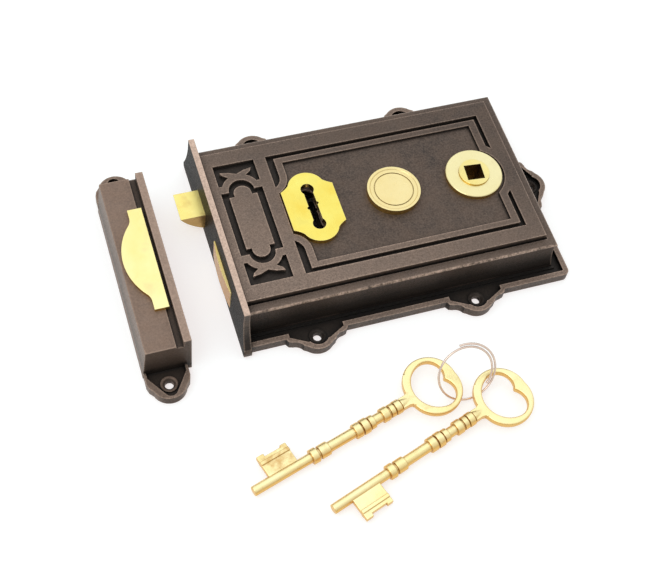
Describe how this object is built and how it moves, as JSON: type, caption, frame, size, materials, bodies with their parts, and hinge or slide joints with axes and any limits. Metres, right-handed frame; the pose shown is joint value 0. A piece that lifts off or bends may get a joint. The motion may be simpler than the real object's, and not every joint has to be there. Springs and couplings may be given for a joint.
{
  "type": "rim box lock",
  "caption": "Surface-mounted cast rim lock with a sprung latch and a lever dead bolt, brass keyhole and spindle fittings, its box keep and its keys on a wire ring.",
  "frame": {"origin": "centre of the lock's back, on the plane that lies against the door", "axes": "+Z out of the door through the lock's face, -X towards the forend and the keep, +Y towards the latch's side, which is up on the door"},
  "size_m": [0.2045, 0.1952, 0.0263],
  "materials": {
    "iron": "oiled dark casting with worn edges",
    "brass": "polished, lightly aged",
    "bolt_brass": "machined, worn where it slides",
    "key_brass": "polished",
    "steel": "plain machined",
    "spring_steel": "bright drawn wire"
  },
  "bodies": {
    "lock_case": {"case": "iron", "back_plate": "steel", "back_plate_screws": "steel", "keyhole_escutcheon": "brass", "round_plate": "brass", "spindle_rose": "brass", "latch_guide_post": "steel", "lever_pivot": "steel"},
    "follower": {"follower": "bolt_brass"},
    "latch": {"latch_head": "bolt_brass", "latch_tail": "steel", "latch_stud": "steel", "latch_spring": "spring_steel"},
    "dead_bolt": {"dead_bolt_head": "bolt_brass", "dead_bolt_tail": "steel", "bolt_stump": "steel"},
    "lever_1": {"lever_1": "bolt_brass", "lever_1_spring": "spring_steel"},
    "lever_2": {"lever_2": "bolt_brass", "lever_2_spring": "spring_steel"},
    "keep": {"keep_case": "iron", "keep_strike": "brass"},
    "ring": {"key_ring": "spring_steel"},
    "key_1": {"key_1": "key_brass"},
    "key_2": {"key_2": "key_brass"}
  },
  "joints": [
    {"name": "follower_turn", "type": "hinge", "parent": "lock_case", "child": "follower", "pos_m": [0.04475, 0, 0.012], "axis": [0, 0, -1], "range_deg": [0, 38]},
    {"name": "latch_slide", "type": "slide", "parent": "lock_case", "child": "latch", "axis": [1, 0, 0], "range_m": [0, 0.0109], "stiffness_N_per_m": 120, "deforming": ["latch_spring"]},
    {"name": "bolt_slide", "type": "slide", "parent": "lock_case", "child": "dead_bolt", "axis": [-1, 0, 0], "range_m": [0, 0.013]},
    {"name": "lever_1_lift", "type": "hinge", "parent": "lock_case", "child": "lever_1", "pos_m": [0, -0.022, 0.01], "axis": [0, 0, 1], "range_deg": [0, 7.75], "deforming": ["lever_1_spring"]},
    {"name": "lever_2_lift", "type": "hinge", "parent": "lock_case", "child": "lever_2", "pos_m": [0, -0.022, 0.0125], "axis": [0, 0, 1], "range_deg": [0, 6.25], "deforming": ["lever_2_spring"]},
    {"name": "keep_slide", "type": "slide", "parent": "lock_case", "child": "keep", "axis": [1, 0, 0], "range_m": [0, 0.02]},
    {"name": "ring_lift", "type": "slide", "parent": "lock_case", "child": "ring", "axis": [0, 0, 1], "range_m": [0, 0.04]},
    {"name": "key_1_swing", "type": "hinge", "parent": "ring", "child": "key_1", "pos_m": [0.00029, -0.09291, 0.0045], "axis": [0, 0, 1], "range_deg": [-3, 10]},
    {"name": "key_2_swing", "type": "hinge", "parent": "ring", "child": "key_2", "pos_m": [0.01995, -0.09292, 0.0045], "axis": [0, 0, 1], "range_deg": [-2, 12]}
  ],
  "couplings": [
    {"joint": "follower_turn", "follows": "latch_slide", "rad_per_m": 60.606},
    {"joint": "lever_1_lift", "follows": "bolt_slide", "rad_per_m": 10.338},
    {"joint": "lever_2_lift", "follows": "bolt_slide", "rad_per_m": 8.3239}
  ]
}
